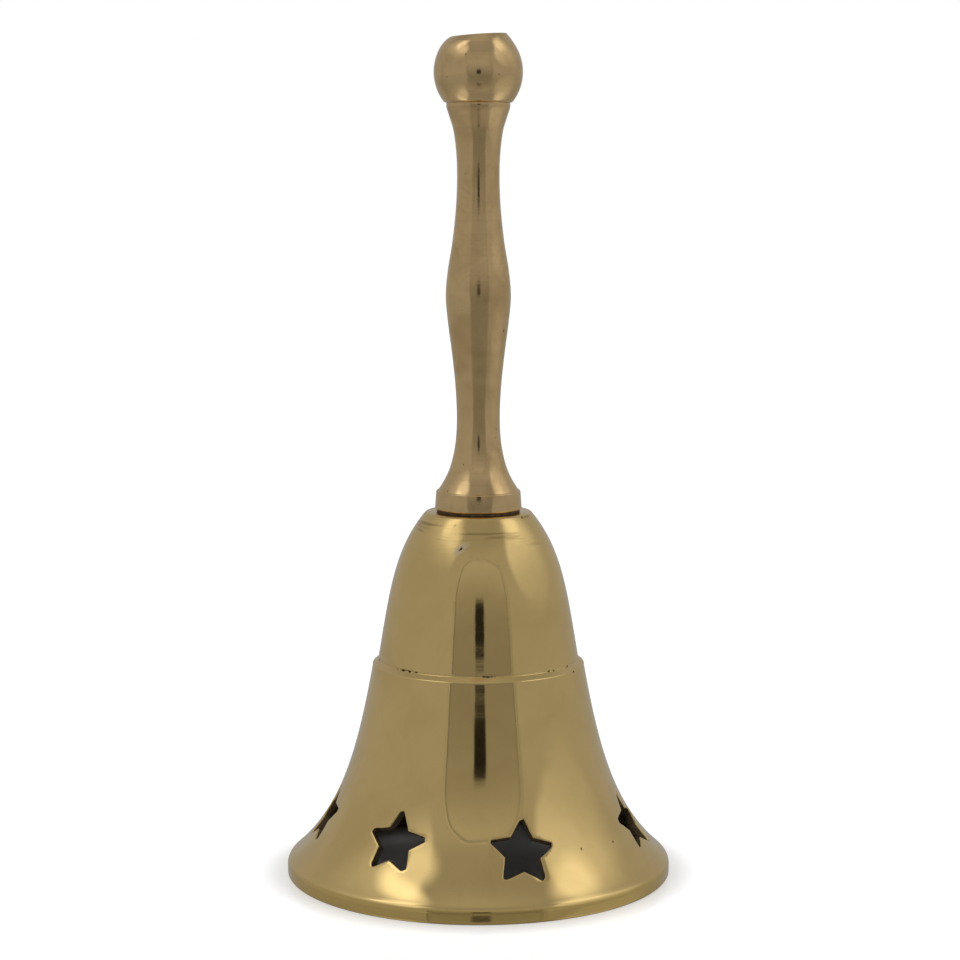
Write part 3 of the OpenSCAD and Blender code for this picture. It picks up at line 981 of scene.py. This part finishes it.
# Takes the cells round a star out of one face of the wall and fills the gap up to the star's edge
def openWindow(verts, faces, picks, taken, plane, face, edgeFlat, edgeStart, pick):
    segments = bell["segments"]
    reach = starCut["radius"] + 1.3
    wanted = []
    for i, (r, z) in enumerate(face.rows):
        y = plane.flat((r * math.sin(plane.azimuth), -r * math.cos(plane.azimuth), z)).y
        if abs(y) < reach:
            wanted.append(i)
    rowLow = face.firstRow + wanted[0]
    rowHigh = face.firstRow + wanted[-1]
    smallest = min(face.rows[i][0] for i in wanted)
    middle = round(plane.azimuth / fullTurn * segments)
    span = math.ceil(math.asin(reach / smallest) / fullTurn * segments)
    columns = list(range(middle - span, middle + span + 1))

    def vertex(row, column):
        return row * segments + column % segments

    for row in range(rowLow, rowHigh):
        for column in columns[:-1]:
            taken.add((row, column % segments))
    loop = [vertex(rowLow, c) for c in columns]
    loop += [vertex(r, columns[-1]) for r in range(rowLow + 1, rowHigh)]
    loop += [vertex(rowHigh, c) for c in reversed(columns)]
    loop += [vertex(r, columns[0]) for r in range(rowHigh - 1, rowLow, -1)]
    loopFlat = [plane.flat(verts[v]) for v in loop]
    edge = list(range(edgeStart, edgeStart + len(edgeFlat)))
    indices = loop + edge
    flats = loopFlat + edgeFlat
    for row in range(rowLow + 1, rowHigh):
        for column in columns[1:-1]:
            v = vertex(row, column)
            flat = plane.flat(verts[v])
            if flat.length < reach + 0.6:
                if insideOutline(flat, edgeFlat) or gapToOutline(flat, edgeFlat) < 0.24:
                    continue
            indices.append(v)
            flats.append(flat)
    bounds = [(i, (i + 1) % len(loop)) for i in range(len(loop))]
    bounds += [(len(loop) + i, len(loop) + (i + 1) % len(edge)) for i in range(len(edge))]
    filled = delaunay_2d_cdt(flats, bounds, [], 0, 1e-6, True)
    for corners in filled[2]:
        middleFlat = sum((filled[0][c] for c in corners), Vector((0, 0))) / len(corners)
        if insideOutline(middleFlat, edgeFlat) or not insideOutline(middleFlat, loopFlat):
            continue
        faces.append([indices[filled[3][c][0]] for c in corners])
        picks.append(pick)


def buildBell(finishes):
    segments = bell["segments"]
    outerRows, skirtSpan, domeSpan = outerProfile()
    innerRows = innerProfile()
    verts, faces = lathe(outerRows + innerRows, segments, closed=True)
    innerFirst = len(outerRows)
    outerFace = WallFace(outerRows[skirtSpan[0]:skirtSpan[1]], skirtSpan[0])
    innerKept = [i for i, (r, z) in enumerate(innerRows) if z < bell["stepHeight"] - 5]
    innerFace = WallFace(innerRows[innerKept[0]:], innerFirst + innerKept[0])
    taken = set()
    added = []
    picksAdded = []
    for number, star in enumerate(starPlaces):
        plane = StarPlane(star)
        outline = starOutline(star, number + 5)
        roundness = starCut["edgeRound"]
        # rings from the outer face, over the filed edge, through the wall to the inner face
        plan = [("outer", roundness, 0.0), ("outer", roundness * 0.42, -roundness * 0.16),
                ("outer", roundness * 0.1, -roundness * 0.5), ("outer", 0.0, -roundness * 1.1),
                ("middle", 0.02, 0.0), ("inner", 0.0, 0.25), ("inner", 0.06, 0.07), ("inner", 0.16, 0.0)]
        rings = []
        flats = []
        for side, growth, shift in plan:
            flat = growOutline(outline, growth) if growth else outline
            ring = []
            for point in flat:
                outerDepth = plane.depthOn(outerFace, point, 0.0)
                innerDepth = plane.depthOn(innerFace, point, -bell["wall"])
                halfway = (outerDepth + innerDepth) / 2
                depth = {"outer": outerDepth, "inner": innerDepth, "middle": halfway}[side]
                ring.append(len(verts))
                verts.append(tuple(plane.solid(point, depth + shift)))
            rings.append(ring)
            flats.append(flat)
        count = len(outline)
        for level, (upper, lower) in enumerate(zip(rings, rings[1:])):
            for i in range(count):
                added.append((upper[i], upper[(i + 1) % count], lower[(i + 1) % count], lower[i]))
                picksAdded.append(0 if level < 3 else 1)
        openWindow(verts, added, picksAdded, taken, plane, outerFace, flats[0], rings[0][0], 0)
        openWindow(verts, added, picksAdded, taken, plane, innerFace, flats[-1], rings[-1][0], 1)
    kept = []
    picks = []
    for i, face in enumerate(faces):
        row = i // segments
        if (row, i % segments) in taken:
            continue
        kept.append(face)
        picks.append(1 if row >= innerFirst - 1 else 0)
    # true normals on the polished faces, so that reflections run smoothly past the stars
    normals = [(0, 0, 0)] * len(verts)
    for span, shape in ((skirtSpan, skirtRadius), (domeSpan, domeRadius)):
        for row in range(span[0], span[1]):
            angle = math.radians(normalAngle(shape, outerRows[row][1]))
            for column in range(segments):
                turn = fullTurn * column / segments
                normals[row * segments + column] = (math.sin(turn) * math.cos(angle),
                                                    -math.cos(turn) * math.cos(angle), math.sin(angle))
    finishPiece("brassBell", verts, kept + added, "bell", finishes, ["bell_shell"],
                picks=picks + picksAdded, normals=normals)


rawBrass = makeRawBrass()
bellBrass = makeBellBrass((domeFoot + 0.05) * mm, bellTop * mm, bell["lipHeight"] * mm)
buildBell([bellBrass, rawBrass])

handle = {
    "segments": 160,
    "collarRadius": 7.9,
    "collarTaper": 0.25,
    "collarHeight": 3.4,
    "foot": 7.3,
    "waist": 3.9,
    "bulge": 5.88,
    "neck": 3.8,
    "seat": 5.7,
    "boltBore": 2.45,
    "boltDepth": 12,
    "studBore": 2.05,
    "studDepth": 9.5,
}
handleLow, handleTop = heightsOf("handle_stem")


# Smooth curve through the stem's turned radii: share of its length, then radius
def stemKnots(start, length):
    foot, waist, bulge = handle["foot"], handle["waist"], handle["bulge"]
    neck, seat = handle["neck"], handle["seat"]
    plan = [(0, foot), (0.033, between(waist, foot, 0.6)), (0.069, between(waist, foot, 0.305)),
            (0.126, between(waist, foot, 0.07)), (0.191, waist), (0.270, between(waist, bulge, 0.12)),
            (0.356, between(waist, bulge, 0.43)), (0.442, between(waist, bulge, 0.82)), (0.507, bulge),
            (0.572, between(neck, bulge, 0.81)), (0.644, between(neck, bulge, 0.42)),
            (0.730, between(neck, bulge, 0.11)), (0.809, neck), (0.874, between(neck, seat, 0.08)),
            (0.931, between(neck, seat, 0.35)), (0.963, between(neck, seat, 0.7)), (0.989, seat), (1, seat)]
    return [(start + length * share, radius) for share, radius in plan]


def smoothCurve(knots, gap):
    slopes = []
    for i in range(len(knots)):
        before = knots[max(i - 1, 0)]
        after = knots[min(i + 1, len(knots) - 1)]
        slopes.append((after[1] - before[1]) / (after[0] - before[0]))
    points = []
    for i in range(len(knots) - 1):
        width = knots[i + 1][0] - knots[i][0]
        steps = max(2, round(width / gap))
        for step in range(steps):
            t = step / steps
            height = ((2 * t**3 - 3 * t**2 + 1) * knots[i][1] + (t**3 - 2 * t**2 + t) * width * slopes[i]
                      + (3 * t**2 - 2 * t**3) * knots[i + 1][1] + (t**3 - t**2) * width * slopes[i + 1])
            points.append((height, knots[i][0] + width * t))
    points.append((knots[-1][1], knots[-1][0]))
    return points


def buildHandle(finish):
    collar = handle["collarRadius"]
    stemStart = handleLow + handle["collarHeight"]
    stem = smoothCurve(stemKnots(stemStart, handleTop - stemStart), 0.4)
    bore = handle["boltBore"]
    stud = handle["studBore"]
    boreTop = handleLow + handle["boltDepth"]
    studEnd = handleTop - handle["studDepth"]
    profile = [(0, boreTop + 0.7), (bore, boreTop), (bore, handleLow + 0.2), (bore + 0.2, handleLow),
               (5.2, handleLow), (collar - 0.8, handleLow)]
    profile += roundCorner(collar, handleLow, -90, 4, 0.3, 5)
    profile.append((collar - handle["collarTaper"] / 2, handleLow + 1.7))
    profile += roundCorner(collar - handle["collarTaper"], stemStart, 4, 82, 0.33, 5)
    profile.append((handle["foot"] + 0.03, stemStart + 0.03))
    profile += stem[1:-1]
    profile += roundCorner(handle["seat"], handleTop, 0, 90, 0.05, 3)
    profile += [(4.2, handleTop), (stud + 0.2, handleTop), (stud, handleTop - 0.2), (stud, studEnd),
                (0, studEnd - 0.6)]
    verts, faces = lathe(profile, handle["segments"])
    finishPiece("turnedHandle", verts, faces, "bell", [finish], ["handle_stem"])


ball = {
    "segments": 144,
    "radius": 7.95,
    "rise": 8.3,  # half its height, were it whole
    "seatHeight": 5.4,
    "flatHeight": 6.475,
    "flatTilt": 3.8,
    "edgeRound": 0.35,
}


def buildBall(finish):
    low = heightsOf("finial_ball")[0]
    radius = ball["radius"]
    rise = ball["rise"]
    centre = low + ball["seatHeight"]
    first = -math.asin(ball["seatHeight"] / rise)
    last = math.asin(ball["flatHeight"] / rise)
    foot = radius * math.cos(first)
    stud = handle["studBore"]
    profile = [(0, low + 9.4), (stud, low + 8.9), (stud, low + 0.2), (stud + 0.2, low), (4.2, low),
               (foot - 0.2, low), (foot - 0.06, low + 0.03)]
    for step in range(61):
        angle = between(first + 0.03, last - 0.035, step / 60)
        profile.append((radius * math.cos(angle), centre + rise * math.sin(angle)))
    flatTop = centre + ball["flatHeight"]
    flatEdge = radius * math.cos(last)
    topAngle = math.degrees(math.atan2(math.sin(last) / rise, math.cos(last) / radius))
    tops = roundCorner(flatEdge, flatTop, topAngle, 90, ball["edgeRound"], 5)
    tops += [(flatEdge - 1.2, flatTop), (2.4, flatTop), (1.0, flatTop), (0, flatTop)]
    verts, faces = lathe(profile + tops, ball["segments"])
    # the flat was filed a little out of square: lean the top, fading out down the ball
    lean = math.tan(math.radians(ball["flatTilt"]))
    fadeStart = centre + rise * 0.45
    leaned = []
    for x, y, z in verts:
        share = min(max((z - fadeStart) / (flatTop - fadeStart), 0.0), 1.0)
        if z > fadeStart and math.hypot(x, y) > stud + 0.01 or z > low + 9.5:
            z += x * lean * share ** 3
        leaned.append((x, y, z))
    finishPiece("handleBall", leaned, faces, "bell", [finish], ["finial_ball"])


handleBrass = makeHandleBrass("turnedHandleBrass", (handleTop - 0.02) * mm, 0.0)
ballBrass = makeHandleBrass("turnedBallBrass", (handleTop + 0.04) * mm, 0.31)
buildHandle(handleBrass)
buildBall(ballBrass)

fixings = {
    "segments": 96,
    "packingRadius": 7.6,
    "insideRadius": 6.5,
    "hole": 2.6,
    "nutFlats": 8.0,
    "threadPitch": 0.8,
    "threadCore": 2.02,
    "shankRadius": 2.4,
    "eyeRadius": 2.9,
    "eyeWire": 1.1,
    "wireSides": 20,
}
steel = makeSteel("dullPlatedSteel", 420.0, 0.28)
wireSteel = makeSteel("dullWireSteel", 800.0, 0.34)
fibre = makeFibre()


def buildPackingWasher():
    low, high = heightsOf("crown_washer")
    hole = fixings["hole"]
    outer = fixings["packingRadius"]
    profile = [(hole, low + 0.08), (hole + 0.1, low), (outer - 0.2, low), (outer - 0.04, low + 0.06),
               (outer, low + 0.15), (outer, high - 0.15), (outer - 0.05, high - 0.06), (outer - 0.25, high),
               (hole + 0.1, high), (hole, high - 0.08)]
    verts, faces = lathe(profile, fixings["segments"], closed=True)
    frayed = []
    for x, y, z in verts:
        away = math.hypot(x, y)
        pull = 1.0
        if away > outer - 0.1:
            pull -= 0.018 * (0.5 + 0.5 * noise.noise(Vector((x * 0.9, y * 0.9, z * 3))))
        frayed.append((x * pull, y * pull, z))
    finishPiece("packingWasher", frayed, faces, "bell", [fibre], ["crown_washer"], sharp=50)


def buildInsideWasher():
    low, high = heightsOf("inner_washer")
    hole = fixings["hole"]
    outer = fixings["insideRadius"]
    profile = [(hole, low + 0.06), (hole + 0.08, low), (outer - 0.16, low), (outer - 0.04, low + 0.06),
               (outer, low + 0.2), (outer, high - 0.05), (outer - 0.05, high), (hole + 0.2, high),
               (hole + 0.05, high - 0.06), (hole, high - 0.18)]
    verts, faces = lathe(profile, fixings["segments"], closed=True)
    finishPiece("insideWasher", verts, faces, "bell", [steel], ["inner_washer"], sharp=40)


def buildLockNut():
    low, high = heightsOf("lock_nut")
    segments = fixings["segments"]
    flat = fixings["nutFlats"] / 2
    bore = fixings["shankRadius"] + 0.05
    rows = [("round", bore, low + 0.3), ("round", bore + 0.3, low), ("round", flat * 0.95, low),
            ("hexLow", 0, low), ("hexHigh", 0, high), ("round", flat * 0.95, high),
            ("round", bore + 0.3, high), ("round", bore, high - 0.3)]
    verts = []
    for kind, radius, z in rows:
        for step in range(segments):
            angle = fullTurn * step / segments
            reach = radius
            level = z
            if kind != "round":
                fromFlat = (math.degrees(angle) + 30) % 60 - 30
                reach = flat / math.cos(math.radians(fromFlat))
                drop = (reach - flat * 0.95) * math.tan(math.radians(28))
                level = z + drop if kind == "hexLow" else z - drop
            verts.append((reach * math.sin(angle), -reach * math.cos(angle), level))
    faces = []
    for row in range(len(rows)):
        below = row * segments
        above = (row + 1) % len(rows) * segments
        for step in range(segments):
            after = (step + 1) % segments
            faces.append((below + step, below + after, above + after, above + step))
    finishPiece("lockNut", verts, faces, "bell", [steel], ["lock_nut"], sharp=25)


# Threaded shank: rows of vertices whose radius follows the thread round
def buildBoltShank():
    low, high = heightsOf("eye_bolt")
    eyeCentre = low + fixings["eyeWire"] + fixings["eyeRadius"]
    start = eyeCentre + fixings["eyeRadius"]
    segments = 48
    pitch = fixings["threadPitch"]
    verts = [(0, 0, start)]
    rows = round((high - start) / 0.1)
    for row in range(rows + 1):
        z = between(start, high, row / rows)
        plain = min(1.0, max(0.0, (z - start - 0.25) / 0.3)) * min(1.0, max(0.0, (high - z) / 0.6))
        for step in range(segments):
            turn = step / segments
            phase = (z / pitch - turn) % 1.0
            crest = 1 - abs(phase * 2 - 1)
            crest = min(1.0, max(0.0, crest * 1.35 - 0.15))
            threaded = between(fixings["threadCore"], fixings["shankRadius"], crest)
            radius = between(fixings["threadCore"] - 0.05, threaded, plain)
            angle = fullTurn * turn
            verts.append((radius * math.sin(angle), -radius * math.cos(angle), z))
    verts.append((0, 0, high))
    faces = []
    for row in range(rows):
        for step in range(segments):
            after = (step + 1) % segments
            below = 1 + row * segments
            above = below + segments
            faces.append((below + step, below + after, above + after, above + step))
    last = 1 + rows * segments
    for step in range(segments):
        after = (step + 1) % segments
        faces.append((0, 1 + after, 1 + step))
        faces.append((len(verts) - 1, last + step, last + after))
    finishPiece("boltShank", verts, faces, "bell", [steel], ["eye_bolt"], sharp=40)


def circlePath(centreZ, radius, steps, start=0.0, end=360.0):
    points = []
    last = steps if end - start == 360 else steps - 1
    for step in range(steps):
        angle = math.radians(between(start, end, step / last))
        points.append(Vector((radius * math.cos(angle), 0, centreZ + radius * math.sin(angle))))
    return points


# Forged eye: the ring and its neck are fused and then smoothed
def buildBoltEye():
    low = heightsOf("eye_bolt")[0]
    eyeCentre = low + fixings["eyeWire"] + fixings["eyeRadius"]
    points = circlePath(eyeCentre, fixings["eyeRadius"], 56)
    radii = [fixings["eyeWire"]] * len(points)
    verts, faces = sweepWire(points, radii, Vector((0, 1, 0)), fixings["wireSides"], True)
    top = eyeCentre + fixings["eyeRadius"]
    neck = [(0, top - 0.6), (1.0, top - 0.4), (1.35, top), (1.7, top + 0.3), (1.9, top + 0.6),
            (1.9, top + 1.1), (0, top + 1.1)]
    neckVerts, neckFaces = lathe(neck, 32)
    shift = len(verts)
    verts = [tuple(v) for v in verts] + neckVerts
    faces = list(faces) + [[shift + c for c in face] for face in neckFaces]
    piece = finishPiece("boltEye", verts, faces, "bell", [steel], ["eye_bolt"], sharp=60)
    fuse = piece.modifiers.new("fuse", "REMESH")
    fuse.mode = "VOXEL"
    fuse.voxel_size = 0.16 * mm
    fuse.use_smooth_shade = True
    settle = piece.modifiers.new("settle", "SMOOTH")
    settle.factor = 0.5
    settle.iterations = 4


buildPackingWasher()
buildInsideWasher()
buildLockNut()
buildBoltShank()
buildBoltEye()
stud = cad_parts["finial_stud"]
for materialSlot in stud.material_slots:
    materialSlot.material = steel
print("fixings ready")

clapper = {
    "linkWire": 0.8,
    "linkBend": 2.3,
    "rodWire": 0.9,
    "eyeRadius": 2.1,
    "ballRadius": 6.5,
    "ballBore": 0.95,
    "rivetRadius": 1.44,
}


# Long link of bent wire, with its butt joint on one straight side
def buildLink():
    low, high = heightsOf("link_ring")
    middle = (low + high) / 2
    bend = clapper["linkBend"]
    half = (high - low) / 2 - bend - clapper["linkWire"]
    points = []
    for side in (0, 180):
        for step in range(25):
            angle = math.radians(side + 180 * step / 24)
            shift = half if side == 0 else -half
            points.append(Vector((0, bend * math.cos(angle), middle + shift + bend * math.sin(angle))))
        for step in range(1, 12):
            share = step / 12
            y = -bend if side == 0 else bend
            z = between(half, -half, share) if side == 0 else between(-half, half, share)
            points.append(Vector((0, y, middle + z)))
    radii = []
    for point in points:
        radius = clapper["linkWire"]
        gap = abs(point.z - middle)
        if point.y < -bend * 0.99 and gap < 0.5:
            radius -= 0.1 * math.exp(-(gap / 0.16) ** 2)
        radii.append(radius)
    verts, faces = sweepWire(points, radii, Vector((1, 0, 0)), fixings["wireSides"], True)
    finishPiece("hangingLink", verts, faces, "link", [wireSteel], ["link_ring"], sharp=50)


# Wire rod: riveted under the ball, straight up through it, then bent round into an eye
def buildRod():
    low, high = heightsOf("clapper_rod")
    wire = clapper["rodWire"]
    eye = clapper["eyeRadius"]
    eyeCentre = high - wire - eye
    ballLow = low + 0.6
    points = []
    radii = []
    for z, radius in ((low, 0.45), (low + 0.1, 0.95), (low + 0.28, 1.3), (low + 0.47, clapper["rivetRadius"]),
                      (low + 0.58, 1.38), (ballLow + 0.06, wire)):
        points.append(Vector((0, 0, z)))
        radii.append(radius)
    bendStart = eyeCentre - eye - 2.4
    for z in spacedHeights(ballLow + 1.2, bendStart, 1.2):
        points.append(Vector((0, 0, z)))
        radii.append(wire)
    joinAngle = math.radians(-50)
    join = Vector((eye * math.cos(joinAngle), 0, eyeCentre + eye * math.sin(joinAngle)))
    leave = Vector((-math.sin(joinAngle), 0, math.cos(joinAngle)))
    first = points[-1]
    up = Vector((0, 0, 1))
    stretch = (join - first).length
    for step in range(1, 14):
        t = step / 14
        point = (first * (2 * t**3 - 3 * t**2 + 1) + up * (t**3 - 2 * t**2 + t) * stretch
                 + join * (3 * t**2 - 2 * t**3) + leave * (t**3 - t**2) * stretch)
        points.append(point)
        radii.append(wire)
    turns = circlePath(eyeCentre, eye, 44, -50, 212)
    for i, point in enumerate(turns):
        points.append(point)
        radii.append(wire if i < 42 else between(wire, 0.62, (i - 41) / 2))
    verts, faces = sweepWire(points, radii, Vector((0, 1, 0)), fixings["wireSides"], False)
    finishPiece("clapperWire", verts, faces, "clapper", [wireSteel], ["clapper_rod"], sharp=50)


def buildClapperBall(finish):
    low, high = heightsOf("clapper_ball")
    centre = (low + high) / 2
    radius = clapper["ballRadius"]
    bore = clapper["ballBore"]
    edge = math.degrees(math.acos((bore + 0.22) / radius))
    arc = arcPoints(0, centre, radius, -edge, edge, 56)
    turned = []
    for r, z in arc:
        groove = 0.07 * math.exp(-((z - centre) / 0.16) ** 2)  # witness line where the two halves were turned
        turned.append((r - groove, z))
    top = turned[-1][1]
    profile = [(bore, 2 * centre - top + 0.2)] + turned + [(bore, top - 0.2)]
    verts, faces = lathe(profile, 96, closed=True)
    finishPiece("clapperBead", verts, faces, "clapper", [finish], ["clapper_ball"], sharp=40)


buildLink()
buildRod()
buildClapperBall(makeClapperBrass())
print("clapper ready")
